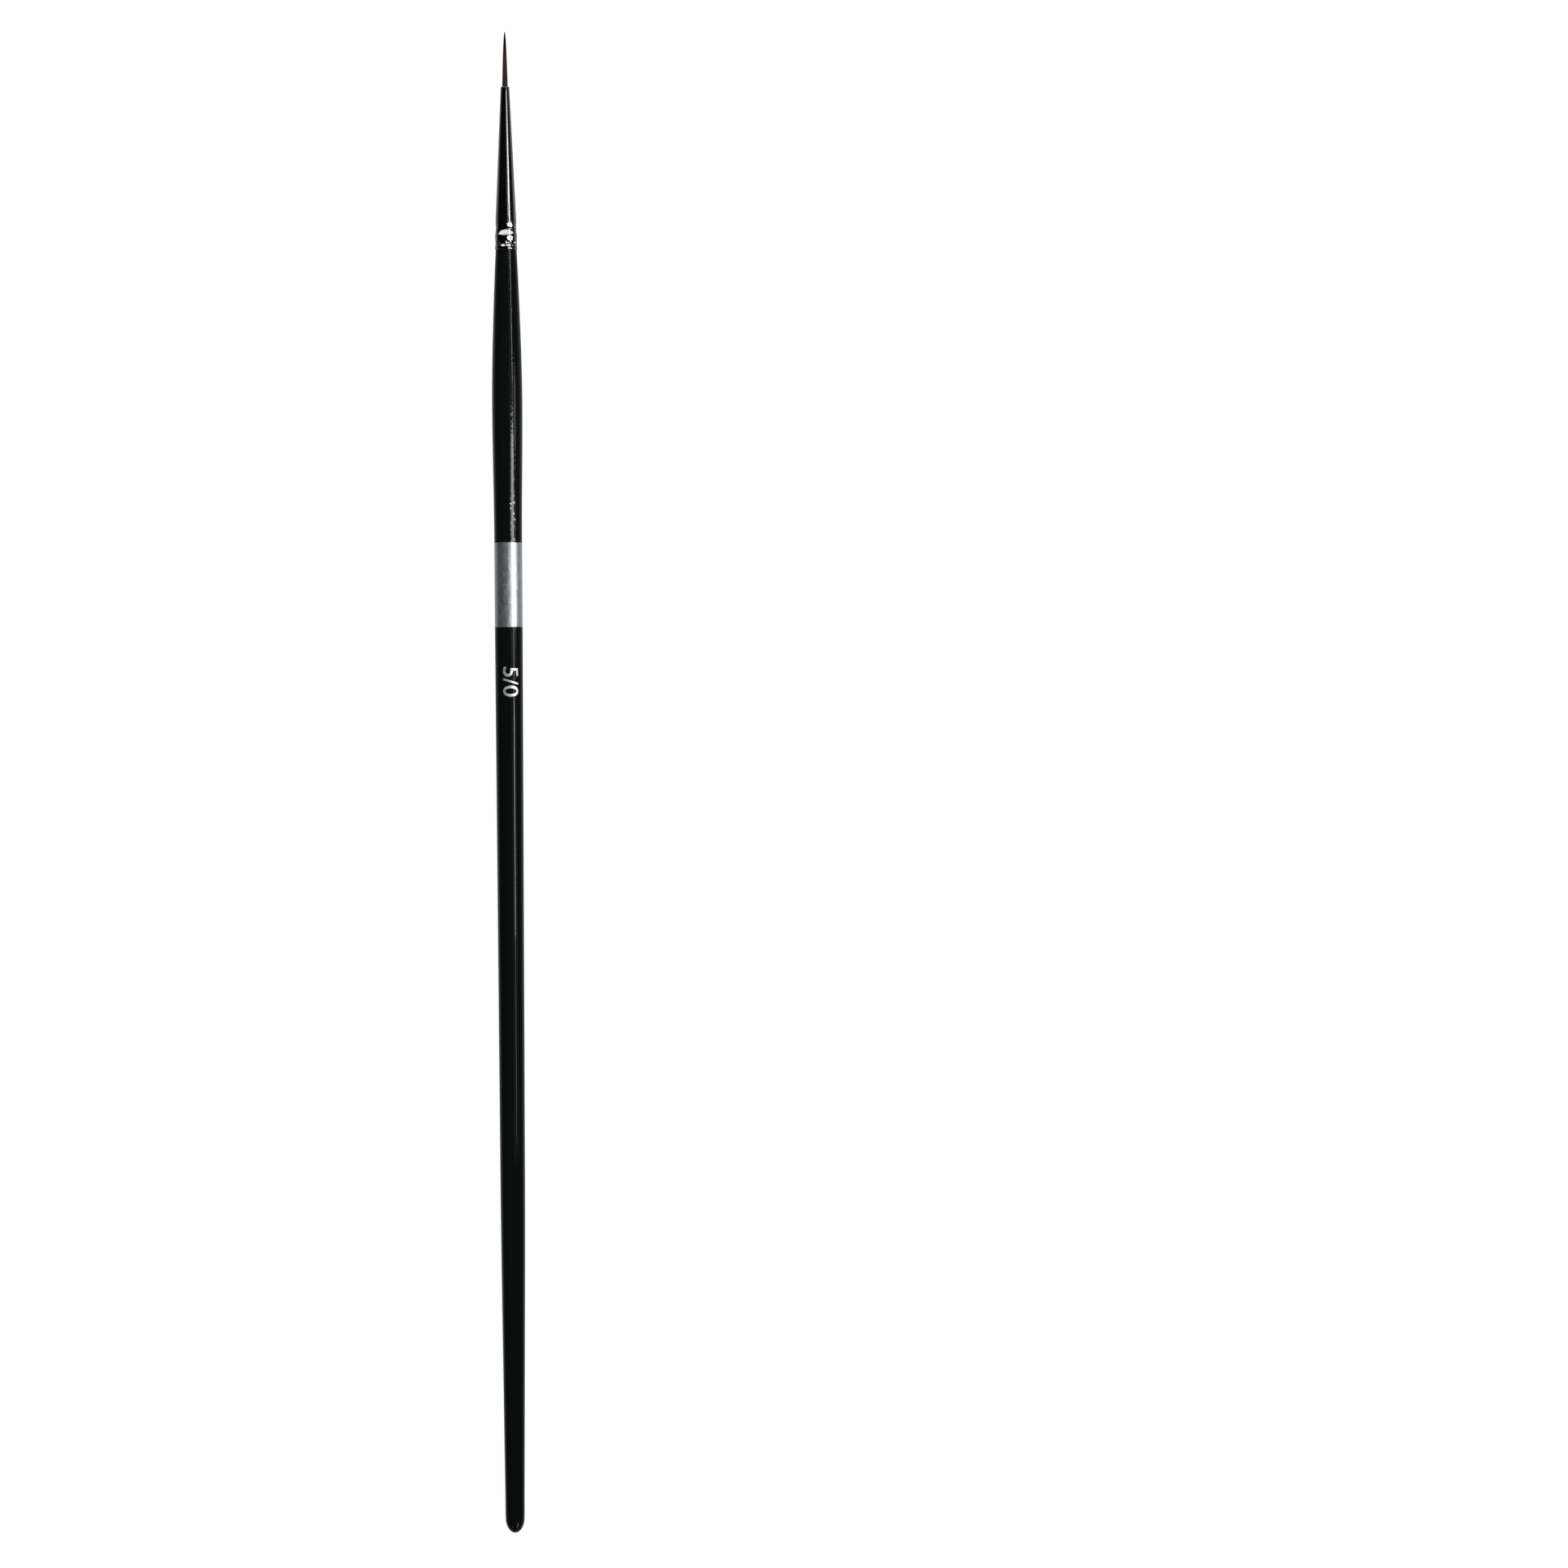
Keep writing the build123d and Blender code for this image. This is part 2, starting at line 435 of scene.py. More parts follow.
def setGlue(name, look):
    finish = Finish(name)
    cloudy = finish.cloud(**look["cloud"])
    bubbles = finish.node(
        "ShaderNodeTexVoronoi",
        {"feature": "SMOOTH_F1"},
        {"Vector": finish.place(), "Scale": look["bubbleScale"]},
    )
    finish.set(
        Base_Color=finish.blend(cloudy, look["dark"], look["light"]),
        Roughness=cloudy * look["cloudRoughness"] + look["roughness"],
        Normal=finish.bump(bubbles + cloudy, look["height"]),
    )
    return finish.material


threadFibreLook = {
    "dark": colour(0.50, 0.46, 0.38),
    "light": colour(0.83, 0.80, 0.72),
    "twist": {"Scale": 9000, "Distortion": 2.0, "Detail": 2},
    "twistShare": 0.6,  # of the tone, and the fuzz has the rest
    "fuzzCloud": {"scale": 30000, "detail": 3, "roughness": 0.7},
    "fuzzHeight": 6e-6,
    "fuzzRoughness": 0.2,
    "roughness": 0.7,
}


def threadFibre():
    look = threadFibreLook
    finish = Finish("threadFibre")
    twist = finish.node(
        "ShaderNodeTexWave",
        {"wave_type": "BANDS", "bands_direction": "DIAGONAL"},
        {"Vector": finish.place(), **look["twist"]},
    )
    fuzz = finish.cloud(**look["fuzzCloud"])
    tone = twist * look["twistShare"] + fuzz * (1 - look["twistShare"])
    finish.set(
        Base_Color=finish.blend(tone, look["dark"], look["light"]),
        Roughness=fuzz * look["fuzzRoughness"] + look["roughness"],
        Normal=finish.bump(twist + fuzz, look["fuzzHeight"]),
    )
    return finish.material


looks = {
    "black_lacquer": blackLacquer(),
    "nickel_plate": nickelPlate(),
    "silver_foil": silverFoil("silverFoil", silverFoilLook),
    "tuft_hair": tuftHair(),
    "turned_wood": turnedWood(),
    "wood_glue": setGlue("woodGlue", woodGlueLook),
    "root_cement": setGlue("rootCement", rootCementLook),
    "binding_thread": threadFibre(),
}
print("materials made:", len(looks))


def dress(piece, slotName, look=None):  # finish, slot and body of a finished piece
    piece.data.materials.clear()
    piece.data.materials.append(look or looks[slotName])
    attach(piece, "root")


def deselectAll():
    bpy.ops.object.select_all(action="DESELECT")


def pick(piece):
    deselectAll()
    piece.select_set(True)
    bpy.context.view_layer.objects.active = piece


def applyPlace():
    bpy.ops.object.transform_apply(location=True, rotation=True, scale=True)


def cadOutline(node, spacing):
    # outer line of a turned CAD node, as (station, radius) from front to rear
    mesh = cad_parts[node].data
    radii = {}
    for face in mesh.polygons:
        outward = Vector((0, face.center.y, face.center.z - axisHeight)).normalized()
        if face.normal.dot(outward) > 0.02:  # neither the inside of the wall nor a flat end
            for index in face.vertices:
                spot = mesh.vertices[index].co
                radii[spot.x] = math.hypot(spot.y, spot.z - axisHeight)
    line = []
    for station in sorted(radii, reverse=True):
        if not line or line[-1][0] - station > spacing:
            line.append((station, radii[station]))
    return line


def radiusOn(line, station):  # smooth radius between the points of an outline
    last = len(line) - 1
    spot = max(0, min(last - 1, sum(1 for x, _ in line if x >= station) - 1))
    (x0, r0), (x1, r1) = line[spot], line[spot + 1]

    def slope(i):
        before, after = line[max(0, i - 1)], line[min(last, i + 1)]
        return (after[1] - before[1]) / (after[0] - before[0])

    run = x1 - x0
    t = (station - x0) / run
    return (
        (2 * t**3 - 3 * t**2 + 1) * r0
        + (t**3 - 2 * t**2 + t) * run * slope(spot)
        + (3 * t**2 - 2 * t**3) * r1
        + (t**3 - t**2) * run * slope(spot + 1)
    )


def evenly(start, end, step):
    count = max(1, round(abs(end - start) / step))
    return [start + (end - start) * i / count for i in range(count + 1)]


def straight(start, end, step, hold):  # evenly, with a ring close to each end
    return [start] + evenly(start - hold, end + hold, step) + [end]


def roundedStart(station, radius, size, steps=4):  # rings of a rounded front edge
    rings = []
    for i in range(steps):
        angle = math.pi / 2 * i / steps
        back, inward = size * (1 - math.cos(angle)), size * (1 - math.sin(angle))
        rings.append((station - back, radius - inward))
    return rings


def roundedEnd(station, radius, size, steps=4):  # rings of a rounded rear edge
    return [(2 * station - x, r) for x, r in reversed(roundedStart(station, radius, size, steps))]


def turn(name, rings, segments, pole=False, closed=False):
    # a circle at the first ring, extruded and resized to each ring after it
    deselectAll()
    station, radius = rings[0]
    bpy.ops.mesh.primitive_circle_add(
        vertices=segments,
        radius=radius,
        location=(station, 0, axisHeight),
        rotation=(0, math.pi / 2, 0),
    )
    applyPlace()
    piece = bpy.context.object
    piece.name = name
    bpy.ops.object.mode_set(mode="EDIT")
    bpy.ops.mesh.select_all(action="SELECT")
    for nextStation, nextRadius in rings[1:]:
        run = nextStation - station
        bpy.ops.mesh.extrude_edges_move(TRANSFORM_OT_translate={"value": (run, 0, 0)})
        size = nextRadius / radius
        centre = (nextStation, 0, axisHeight)
        bpy.ops.transform.resize(value=(1, size, size), center_override=centre)
        station, radius = nextStation, nextRadius
    if pole:
        bpy.ops.mesh.merge(type="CENTER")
    if closed:
        bpy.ops.mesh.select_all(action="DESELECT")
        bpy.ops.mesh.select_non_manifold()
        bpy.ops.mesh.bridge_edge_loops()
    bpy.ops.mesh.select_all(action="SELECT")
    bpy.ops.mesh.normals_make_consistent(inside=False)
    bpy.ops.object.mode_set(mode="OBJECT")
    return piece


def giveWall(piece, thickness):
    wall = piece.modifiers.new("wall", "SOLIDIFY")
    wall.thickness = thickness
    wall.offset = -1
    wall.use_even_offset = True
    bpy.ops.object.modifier_apply(modifier=wall.name)


def smooth(piece, degrees=40):
    pick(piece)
    bpy.ops.object.shade_smooth_by_angle(angle=math.radians(degrees))


coats = {
    "segments": 108,
    "lineStep": 0.9 * mm,  # between the points of a CAD outline
    "peelStep": 0.12 * mm,
    "peelSize": 0.42 * mm,  # of one lump of the orange peel
    "peelDepth": 0.006 * mm,
    "step": 0.45 * mm,
    "wall": 0.15 * mm,
    "edge": 0.025 * mm,
    "hold": 0.02 * mm,  # from a rounded edge to the ring that keeps it crisp
    "bandEdge": 0.012 * mm,
    "shoulder": 0.21 * mm,
    "seam": 0.002 * mm,  # left open between ferrule and lacquer
    "innerStep": 2 * mm,
    "tailLength": 1.9 * mm,
    "tailRings": 14,
    "tailPole": 0.1,  # size of the last ring before the pole, next to the one before it
}


def orangePeel(piece):
    lumps = bpy.data.textures.new("orangePeel", "CLOUDS")
    lumps.noise_scale = coats["peelSize"]
    lumps.noise_depth = 1
    peel = piece.modifiers.new("peel", "DISPLACE")
    peel.texture = lumps
    peel.texture_coords = "LOCAL"
    peel.strength = coats["peelDepth"]
    peel.mid_level = 0.5
    bpy.ops.object.modifier_apply(modifier=peel.name)


def frontCoat():
    line = cadOutline("front_coat", coats["lineStep"])
    front, rear = ferruleLow.x - coats["seam"], frontLow.x
    edge = coats["edge"]
    rings = [(front, radiusOn(line, front) - coats["shoulder"])]  # where it meets the ferrule
    rings += roundedStart(front, radiusOn(line, front), edge)
    stations = straight(front - edge, rear + edge, coats["peelStep"], coats["hold"])
    rings += [(x, radiusOn(line, x)) for x in stations]
    rings += roundedEnd(rear, radiusOn(line, rear), edge)
    inside = evenly(rear, front - coats["wall"], coats["innerStep"])
    rings += [(x, radiusOn(line, x) - coats["wall"]) for x in inside]
    piece = turn("frontCoat", rings, coats["segments"], closed=True)
    orangePeel(piece)
    smooth(piece)
    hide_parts("front_coat")
    dress(piece, "black_lacquer")


def rearCoat():
    line = cadOutline("rear_coat", coats["lineStep"])
    front, rear = rearHigh.x, rearLow.x
    edge, tailLength = coats["edge"], coats["tailLength"]
    tailStart = rear + tailLength
    tailRadius = radiusOn(line, tailStart)
    rings = roundedStart(front, radiusOn(line, front), edge)
    stations = straight(front - edge, tailStart, 2 * coats["step"], coats["hold"])
    rings += [(x, radiusOn(line, x)) for x in stations]
    for i in range(1, coats["tailRings"]):
        angle = math.pi / 2 * i / coats["tailRings"]
        rings.append((tailStart - tailLength * math.sin(angle), tailRadius * math.cos(angle)))
    rings.append((rear, rings[-1][1] * coats["tailPole"]))
    piece = turn("rearCoat", rings, coats["segments"], pole=True)
    giveWall(piece, coats["wall"])
    smooth(piece)
    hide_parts("rear_coat")
    dress(piece, "black_lacquer")


def silverBand():
    front, rear = bandHigh.x, bandLow.x
    radius = (bandHigh.z - bandLow.z) / 2
    edge = coats["bandEdge"]
    rings = roundedStart(front, radius, edge)
    stations = straight(front - edge, rear + edge, coats["step"], coats["hold"])
    rings += [(x, radius) for x in stations]
    rings += roundedEnd(rear, radius, edge)
    piece = turn("silverBand", rings, coats["segments"])
    giveWall(piece, coats["wall"])
    smooth(piece)
    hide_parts("silver_band")
    dress(piece, "silver_foil")


frontCoat()
rearCoat()
silverBand()
print("handle coats and band made")


ferruleShape = {
    "segments": 216,
    "wall": 0.185 * mm,
    "mouthRound": 0.06 * mm,
    "lipRound": 0.08 * mm,
    "roundSteps": 6,
    "innerEdge": 0.03 * mm,  # chamfer inside the mouth and the lip
    "innerStart": 0.2 * mm,  # from either end to the first ring of the inner wall
    "lineStep": 0.09 * mm,
    "coneStep": 0.6 * mm,
    "crimpStep": 0.04 * mm,
    "crimpsFrom": 71.1 * mm,
    "narrowest": 0.3,  # share of its length that a lens keeps at its sides
    # outer line over the two crimps, where no jaw has pressed: station and radius, in mm
    "crimpLine": (
        (71.10, 1.320), (70.80, 1.319), (70.65, 1.317), (70.50, 1.311), (70.35, 1.304),
        (70.20, 1.298), (70.05, 1.296), (69.90, 1.300), (69.75, 1.312), (69.60, 1.331),
        (69.45, 1.353), (69.30, 1.376), (69.15, 1.390), (69.00, 1.392), (68.80, 1.386),
        (68.60, 1.372), (68.40, 1.357), (68.25, 1.350), (68.12, 1.350), (68.00, 1.356),
        (67.90, 1.368), (67.80, 1.385), (67.72, 1.398), (67.62, 1.405), (67.37, 1.405),
    ),
    # Two broad dies, above and below, press a lens into the front groove. Twelve small jaws press
    # the rear one, and twelve flats run along both edges of the front one. Shift turns them, in
    # jaws, and span is how much of its own sector each one takes. Depths run from front to rear:
    # station and depth of the press, in mm.
    "frontCrimp": {
        "jaws": 2,
        "shift": 0.5,
        "span": 0.70,
        "sharp": 2.0,
        "rounded": False,
        "lensAt": 69.55 * mm,
        "tilt": 0.10 * mm,
        "uneven": 0.0,
        "depths": (
            (70.36, 0.0), (70.24, 0.016), (70.14, 0.060), (70.04, 0.108), (69.94, 0.132),
            (69.84, 0.122), (69.72, 0.104), (69.60, 0.086), (69.46, 0.064), (69.33, 0.039),
            (69.20, 0.013), (69.09, 0.0),
        ),
    },
    "rearCrimp": {
        "jaws": 12,
        "shift": 0.0,
        "span": 1.0,
        "sharp": 2.6,
        "rounded": True,
        "lensAt": None,
        "tilt": 0.0,
        "uneven": 0.10,
        "depths": (
            (68.66, 0.0), (68.56, 0.008), (68.44, 0.030), (68.32, 0.056), (68.22, 0.068),
            (68.12, 0.062), (68.02, 0.044), (67.92, 0.026), (67.82, 0.012), (67.73, 0.003),
            (67.66, 0.0),
        ),
    },
    "flats": {
        "jaws": 12,
        "shift": -0.29,
        "span": 1.0,
        "sharp": 2.0,
        "rounded": False,
        "lensAt": None,
        "tilt": 0.0,
        "uneven": 0.12,
        "depths": (
            (70.70, 0.0), (70.56, 0.014), (70.42, 0.034), (70.28, 0.036), (70.16, 0.016),
            (70.06, 0.002), (70.00, 0.0), (69.10, 0.0), (69.00, 0.006), (68.90, 0.020),
            (68.78, 0.029), (68.66, 0.025), (68.54, 0.010), (68.42, 0.0),
        ),
    },
}


def jawMarks(piece, crimp, innerLimit):
    # each jaw of the crimping tool leaves a hollow of its own depth in the outer wall
    group = piece.vertex_groups.new(name="jaws")
    depths = [(x * mm, depth * mm) for x, depth in crimp["depths"]]
    deepest = max(depth for _, depth in depths)
    strengths = [1 - random.uniform(0, crimp["uneven"]) for _ in range(crimp["jaws"])]
    lensAt = crimp["lensAt"]
    for vertex in piece.data.vertices:
        spot = vertex.co
        if math.hypot(spot.y, spot.z - axisHeight) < innerLimit(spot.x):
            continue
        angle = math.atan2(-spot.y, spot.z - axisHeight)
        jaw = (angle / math.tau + 1) * crimp["jaws"] + crimp["shift"]
        number = math.floor(jaw) % crimp["jaws"]
        inJaw = min(1, abs(2 * (jaw - math.floor(jaw)) - 1) / crimp["span"])
        station = spot.x - crimp["tilt"] * math.sin(angle)
        if lensAt:  # the dent narrows towards its sides
            narrowed = max(ferruleShape["narrowest"], math.sqrt(1 - inJaw**2))
            station = lensAt + (station - lensAt) / narrowed
        if depths[-1][0] < station < depths[0][0]:
            depth = max(0, radiusOn(depths, station)) / deepest
            share = 1 - inJaw ** crimp["sharp"]
            if crimp["rounded"]:
                share = share**2 * (3 - 2 * share)  # rounds the ridges between the jaws
            group.add([vertex.index], depth * share * strengths[number], "REPLACE")
    press = piece.modifiers.new("press", "DISPLACE")
    press.vertex_group = group.name
    press.strength = -deepest
    press.mid_level = 0
    bpy.ops.object.modifier_apply(modifier=press.name)
    piece.vertex_groups.clear()


def ferrule():
    shape = ferruleShape
    mouth, end = ferruleHigh.x, ferruleLow.x
    mouthRound, lipRound = shape["mouthRound"], shape["lipRound"]
    wall, coneEnd, innerEdge = shape["wall"], shape["crimpsFrom"], shape["innerEdge"]
    roundSteps = shape["roundSteps"]
    cone = [
        (x, r)
        for x, r in cadOutline("ferrule", shape["lineStep"])
        if coneEnd <= x < mouth - mouthRound
    ]
    crimps = [(x * mm, r * mm) for x, r in shape["crimpLine"]]

    def outer(x):
        return radiusOn(cone if x > coneEnd else crimps, x)

    def middleOfWall(x):
        return outer(x) - wall / 2

    mouthRadius, endRadius = outer(mouth - mouthRound), outer(end)
    stations = evenly(mouth - mouthRound, coneEnd, shape["coneStep"])
    stations += evenly(coneEnd, end + lipRound, shape["crimpStep"])[1:]
    rearmost, foremost = end + shape["innerStart"], mouth - shape["innerStart"]
    inside = [x for x in reversed(stations[::3]) if rearmost < x < foremost]
    rings = [(mouth - innerEdge, mouthRadius - wall), (mouth, mouthRadius - wall + innerEdge)]
    rings += roundedStart(mouth, mouthRadius, mouthRound, roundSteps)
    rings += [(x, outer(x)) for x in stations]
    rings += roundedEnd(end, endRadius, lipRound, roundSteps)
    rings += [(end, endRadius - wall + innerEdge), (end + innerEdge, endRadius - wall)]
    rings += [(x, outer(x) - wall) for x in inside]
    piece = turn("crimpedFerrule", rings, shape["segments"], closed=True)
    pick(piece)
    for crimp in ("frontCrimp", "rearCrimp", "flats"):
        jawMarks(piece, shape[crimp], middleOfWall)
    smooth(piece, degrees=50)
    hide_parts("ferrule")
    dress(piece, "nickel_plate")


ferrule()
print("ferrule made and crimped")


tuft = {
    "rings": 6,
    "strandRadius": 0.0265 * mm,
    "tipRadius": 0.020 * mm,
    "pitch": 0.0562 * mm,
    "setback": 0.02 * mm,  # each ring ends this far behind the one inside it
    "unevenness": 0.05 * mm,
    "fullness": 0.48,  # power of the curve by which the tuft narrows to its point
    "needle": 0.006 * mm,  # the last stretch is slimmer than that curve
    "wander": 0.12,  # of a strand from its place in the ring, in places
    "slack": (0.99, 1.02),  # of a ring's radius
    "sides": 6,
    "steps": 7,
}


def strand(ring):
    hairOut = tuftHigh.x - ferruleHigh.x
    across = ring * tuft["pitch"]
    endBack = ring * tuft["setback"]
    thick, thin, fullness = tuft["strandRadius"], tuft["tipRadius"], tuft["fullness"]
    rings = [(tuftLow.x, across, thick), (ferruleHigh.x, across, thick)]
    for i in reversed(range(tuft["steps"])):
        back = (i / tuft["steps"]) ** 2
        behindTip = endBack + (hairOut - endBack) * back
        share = (behindTip / hairOut) ** fullness * behindTip / (behindTip + tuft["needle"])
        radius = thin + (thick - thin) * back**fullness
        rings.append((tuftHigh.x - behindTip, across * share, radius))
    deselectAll()
    station, height, radius = rings[0]
    bpy.ops.mesh.primitive_circle_add(
        vertices=tuft["sides"],
        radius=radius,
        fill_type="NGON",
        location=(station, 0, axisHeight + height),
        rotation=(0, math.pi / 2, 0),
    )
    applyPlace()
    piece = bpy.context.object
    bpy.ops.object.mode_set(mode="EDIT")
    bpy.ops.mesh.select_all(action="SELECT")
    for nextStation, nextHeight, nextRadius in rings[1:]:
        move = (nextStation - station, 0, nextHeight - height)
        bpy.ops.mesh.extrude_region_move(TRANSFORM_OT_translate={"value": move})
        size = nextRadius / radius
        centre = (nextStation, 0, axisHeight + nextHeight)
        bpy.ops.transform.resize(value=(1, size, size), center_override=centre)
        station, height, radius = nextStation, nextHeight, nextRadius
    bpy.ops.mesh.select_all(action="SELECT")
    bpy.ops.mesh.normals_make_consistent(inside=False)
    bpy.ops.object.mode_set(mode="OBJECT")
    return piece


def hairTuft():
    strands = []
    centre = (0, 0, axisHeight)
    for ring in range(tuft["rings"] + 1):
        master = strand(ring)
        count = max(1, 6 * ring)  # six more in each ring
        for place in range(count):
            pick(master)
            bpy.ops.object.duplicate()
            wander = random.uniform(-tuft["wander"], tuft["wander"])
            angle = math.tau * (place + wander) / count
            slack = random.uniform(*tuft["slack"])
            shorter = random.uniform(0, tuft["unevenness"]) * min(1, ring)
            bpy.ops.transform.translate(value=(-shorter, 0, 0))
            bpy.ops.transform.rotate(value=angle, orient_axis="X", center_override=centre)
            bpy.ops.transform.resize(value=(1, slack, slack), center_override=centre)
            applyPlace()
            strands.append(bpy.context.object)
        bpy.data.objects.remove(master)
    pick(strands[0])
    for piece in strands:
        piece.select_set(True)
    bpy.ops.object.join()
    piece = bpy.context.object
    piece.name = "hairTuft"
    smooth(piece, degrees=60)
    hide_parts(*[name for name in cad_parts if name.startswith("filament_")])
    dress(piece, "tuft_hair")
    return len(strands)


print("hair strands:", hairTuft())


sizeMark = {
    "text": "5/0",
    "from": 0.01456,  # station of the first figure's near side
    "to": 0.01080,
    "height": 2.04 * mm,  # of the figures, measured round the handle
    "turn": 9.8,  # degrees from the top towards the right of the picture
    "lift": 0.004 * mm,
    "thickness": 0.006 * mm,
    "slices": 34,
    "bold": 0.006,  # added round every stroke, in the letters' own units
    "merge": 0.0005 * mm,
    "curveSteps": 8,
}


def sizeNumber():
    mark = sizeMark
    deselectAll()
    bpy.ops.object.text_add()
    words = bpy.context.object
    words.data.body = mark["text"]
    words.data.align_x = "LEFT"
    words.data.offset = mark["bold"]
    words.data.resolution_u = mark["curveSteps"]
    bpy.ops.object.convert(target="MESH")
    piece = bpy.context.object
    piece.name = "sizeNumber"
    low = Vector(min(v.co[i] for v in piece.data.vertices) for i in range(3))
    high = Vector(max(v.co[i] for v in piece.data.vertices) for i in range(3))
    long = (mark["from"] - mark["to"]) / (high.x - low.x)
    tall = mark["height"] / (high.y - low.y)
    piece.location = (-low.x * long, -(low.y + high.y) / 2 * tall, 0)
    piece.scale = (long, tall, 1)
    applyPlace()
    bpy.ops.object.mode_set(mode="EDIT")
    bpy.ops.mesh.select_all(action="SELECT")
    bpy.ops.mesh.remove_doubles(threshold=mark["merge"])
    for i in range(1, mark["slices"]):  # narrow slices, so that the figures can follow the handle
        bpy.ops.mesh.select_all(action="SELECT")
        height = mark["height"] * (i / mark["slices"] - 0.5)
        bpy.ops.mesh.bisect(plane_co=(0, height, 0), plane_no=(0, 1, 0))
    bpy.ops.object.mode_set(mode="OBJECT")
    line = cadOutline("rear_coat", coats["lineStep"])
    for vertex in piece.data.vertices:  # flat x runs to the tail, flat y runs round the handle
        station = mark["from"] - vertex.co.x
        radius = radiusOn(line, station) + mark["lift"] + mark["thickness"]
        angle = math.radians(mark["turn"]) + vertex.co.y / radius
        across, up = -radius * math.sin(angle), radius * math.cos(angle)
        vertex.co = (station, across, axisHeight + up)
    giveWall(piece, mark["thickness"])
    smooth(piece, degrees=30)
    dress(piece, "silver_foil", silverFoil("numberFoil", numberFoilLook))


sizeNumber()
print("size number printed")


innerPieces = {  # these keep their CAD meshes, and get a material each
    "handle_core": "turned_wood",
    "tenon_glue": "wood_glue",
    "root_cement": "root_cement",
    "binding_thread": "binding_thread",
}

for name, slotName in innerPieces.items():
    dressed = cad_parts[name]
    dressed.data.materials.clear()
    dressed.data.materials.append(looks[slotName])
print("inner pieces dressed:", len(innerPieces))


studio = {
    "floorSide": 24.0,
    "floorDrop": 0.01 * mm,
    "paper": (0.32, 0.36),  # tones of the table's faint mottle
    "paperCloud": {"scale": 9},
    "floorGlow": 0.88,
    "floorSheen": 0.02,  # what the gloss on the brush sees of that glow
    "nearSheen": 0.36,  # and of the table close to the brush
    "nearEdge": (5 * mm, 12 * mm),
    "floorBounce": 0.05,  # how pale the table is to the brush itself
    "fillSide": 2.2,
    "fillHeight": 1.4,
    "fillPower": 13.2,
    "backdrop": 0.95,
    "dome": (0.004, 0.0046, 0.0044),
    "cardsOff": 0.5,  # how far from the table's middle line the cards hang
}

# Cards that show in the gloss: name, from and to in degrees from straight up towards the right of
# the picture, where they start and end along X, and how bright their face is.
cards = [
    ("soft", 19, 36, -0.08, 0.155, 0.20),
    ("softHead", 19, 37, 0.155, 0.20, 0.34),
    ("ferruleHaze", 27, 41, 0.166, 0.20, 1.1),
    ("stripTail", 41, 45, -0.075, -0.034, 3.4),
    ("stripRear", 41, 45, -0.034, 0.014, 16),
    ("stripBand", 41, 45, 0.014, 0.033, 8),
    ("stripBelly", 41, 45, 0.033, 0.072, 14),
    ("stripSwell", 41, 45, 0.072, 0.094, 0.8),
    ("stripShoulder", 41, 45, 0.094, 0.152, 8),
    ("stripCrimps", 41, 45, 0.152, 0.168, 16),
    ("stripCone", 40, 44, 0.168, 0.178, 7),
    ("stripMouth", 40, 44, 0.178, 0.24, 2.4),
    ("hotSpot", 45, 49, 0.036, 0.064, 10),
    ("hotWing", 28, 41, 0.034, 0.066, 8),
    ("bandLeft", 21, 31, 0.034, 0.038, 77),
    ("bandRight", 48, 66, 0.034, 0.038, 140),
    ("lowStrip", 58, 62, -0.08, 0.056, 0.5),
    ("swellStrip", 56, 67, 0.056, 0.102, 2.3),
    ("farStripFront", 40, 46, 0.34, 0.95, 5),
    ("farStripRear", 40, 46, -0.95, -0.34, 7),
    ("farSideFront", -46, -40, 0.6, 0.95, 3),
    ("farSideRear", -46, -40, -0.95, -0.6, 3),
]
headArch = {"sides": 6, "widest": 88.8, "start": 0.355, "end": 0.60, "glow": 2.1}
for i in range(headArch["sides"]):  # an arch of cards past the hair
    side = 2 * headArch["widest"] / headArch["sides"]
    low = side * i - headArch["widest"]
    face = (headArch["start"], headArch["end"], headArch["glow"])
    cards.append((f"headArch{i + 1}", low, low + side, *face))


def hangCard(name, low, high, start, end, glow):
    off = studio["cardsOff"]
    middle = math.radians((low + high) / 2)
    width = 2 * off * math.tan(math.radians(high - low) / 2)
    length = end - start
    place = ((start + end) / 2, -off * math.sin(middle), off * math.cos(middle))
    bpy.ops.object.light_add(type="AREA", location=place, rotation=(middle, 0, 0))
    lamp = bpy.context.object
    lamp.name = name
    lamp.data.shape = "RECTANGLE"
    lamp.data.size = length
    lamp.data.size_y = width
    lamp.data.energy = glow * math.pi * length * width
    lamp.visible_camera = False
    lamp.visible_diffuse = not name.startswith("band")  # their glare would show on the table


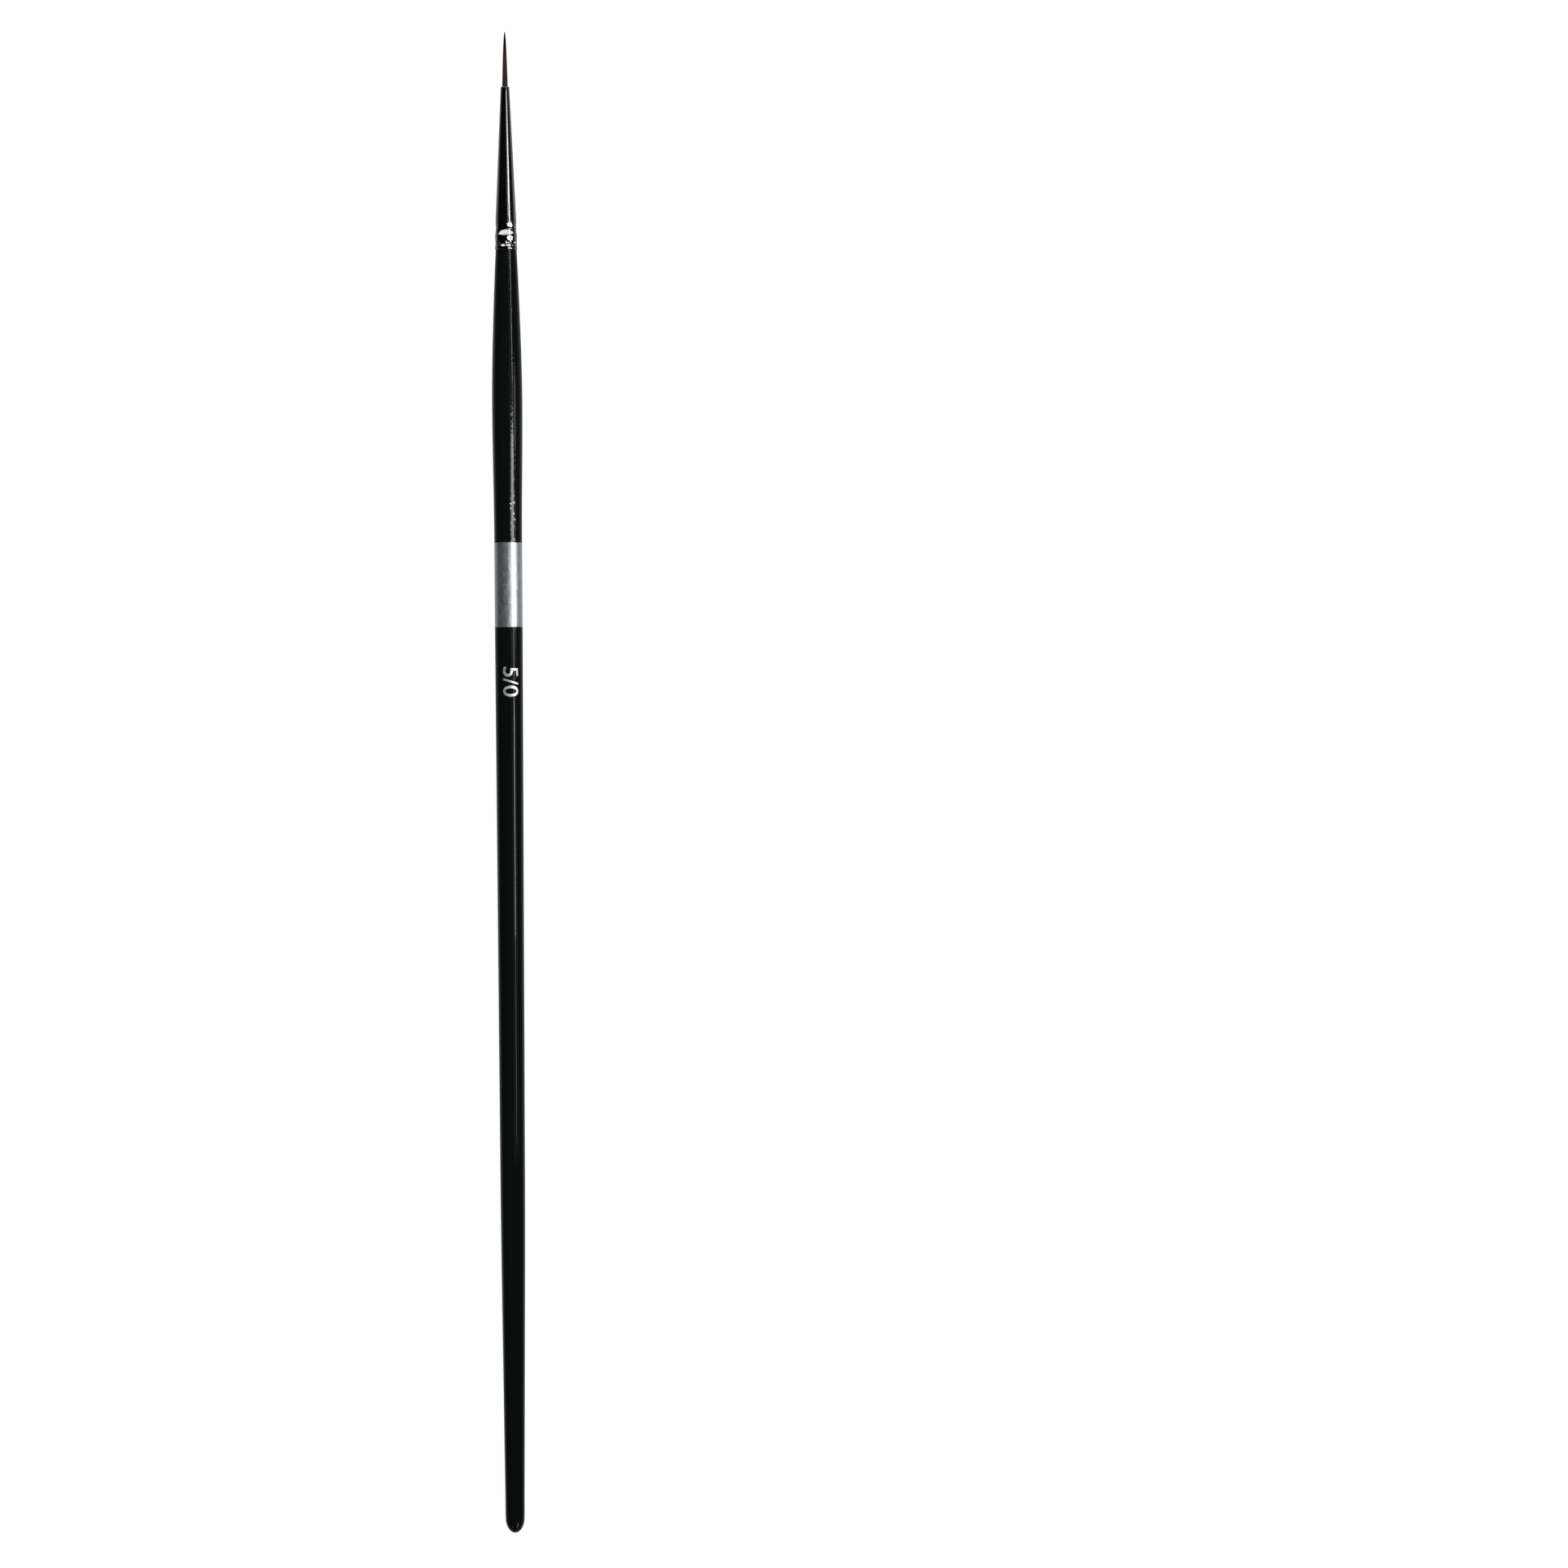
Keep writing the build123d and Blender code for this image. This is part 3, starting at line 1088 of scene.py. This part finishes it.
def table():
    deselectAll()
    place = (0, 0, -studio["floorDrop"])
    bpy.ops.mesh.primitive_plane_add(size=studio["floorSide"], location=place)
    applyPlace()
    floor = bpy.context.object
    floor.name = "table"
    finish = Finish("paleTable")
    paper = finish.cloud(**studio["paperCloud"])
    seen = finish.node("ShaderNodeLightPath", out="Is Camera Ray")
    across = finish.station().out("Y")
    away = finish.node("ShaderNodeMath", {"operation": "ABSOLUTE"}, {0: across})
    sheen = away.step(*studio["nearEdge"], studio["nearSheen"], studio["floorSheen"])
    mottle = finish.blend(paper, *[grey(tone) for tone in studio["paper"]])
    finish.set(
        Base_Color=finish.blend(seen, grey(studio["floorBounce"]), mottle),
        Roughness=0.9,
        Specular_IOR_Level=0.0,
        Emission_Color=finish.blend(seen, sheen, grey(studio["floorGlow"])),
        Emission_Strength=1.0,
    )
    finish.material.cycles.emission_sampling = "NONE"
    floor.data.materials.append(finish.material)


def overheadFill():
    bpy.ops.object.light_add(type="AREA", location=(0, 0, studio["fillHeight"]))
    lamp = bpy.context.object
    lamp.name = "overheadFill"
    lamp.data.shape = "SQUARE"
    lamp.data.size = studio["fillSide"]
    lamp.data.energy = studio["fillPower"]
    lamp.visible_glossy = False
    lamp.visible_camera = False


def sky():
    world = bpy.data.worlds.new("studio")
    bpy.context.scene.world = world
    world.use_nodes = True
    nodes, links = world.node_tree.nodes, world.node_tree.links
    nodes.clear()
    seen = nodes.new("ShaderNodeBackground")
    seen.inputs["Color"].default_value = grey(studio["backdrop"])
    dark = nodes.new("ShaderNodeBackground")
    dark.inputs["Color"].default_value = colour(*studio["dome"])
    rays = nodes.new("ShaderNodeLightPath")
    mix = nodes.new("ShaderNodeMixShader")
    output = nodes.new("ShaderNodeOutputWorld")
    links.new(rays.outputs["Is Camera Ray"], mix.inputs[0])
    links.new(dark.outputs[0], mix.inputs[1])
    links.new(seen.outputs[0], mix.inputs[2])
    links.new(mix.outputs[0], output.inputs["Surface"])


table()
for card in cards:
    hangCard(*card)
overheadFill()
sky()
bpy.context.scene.view_settings.view_transform = "Standard"
print("studio lit")
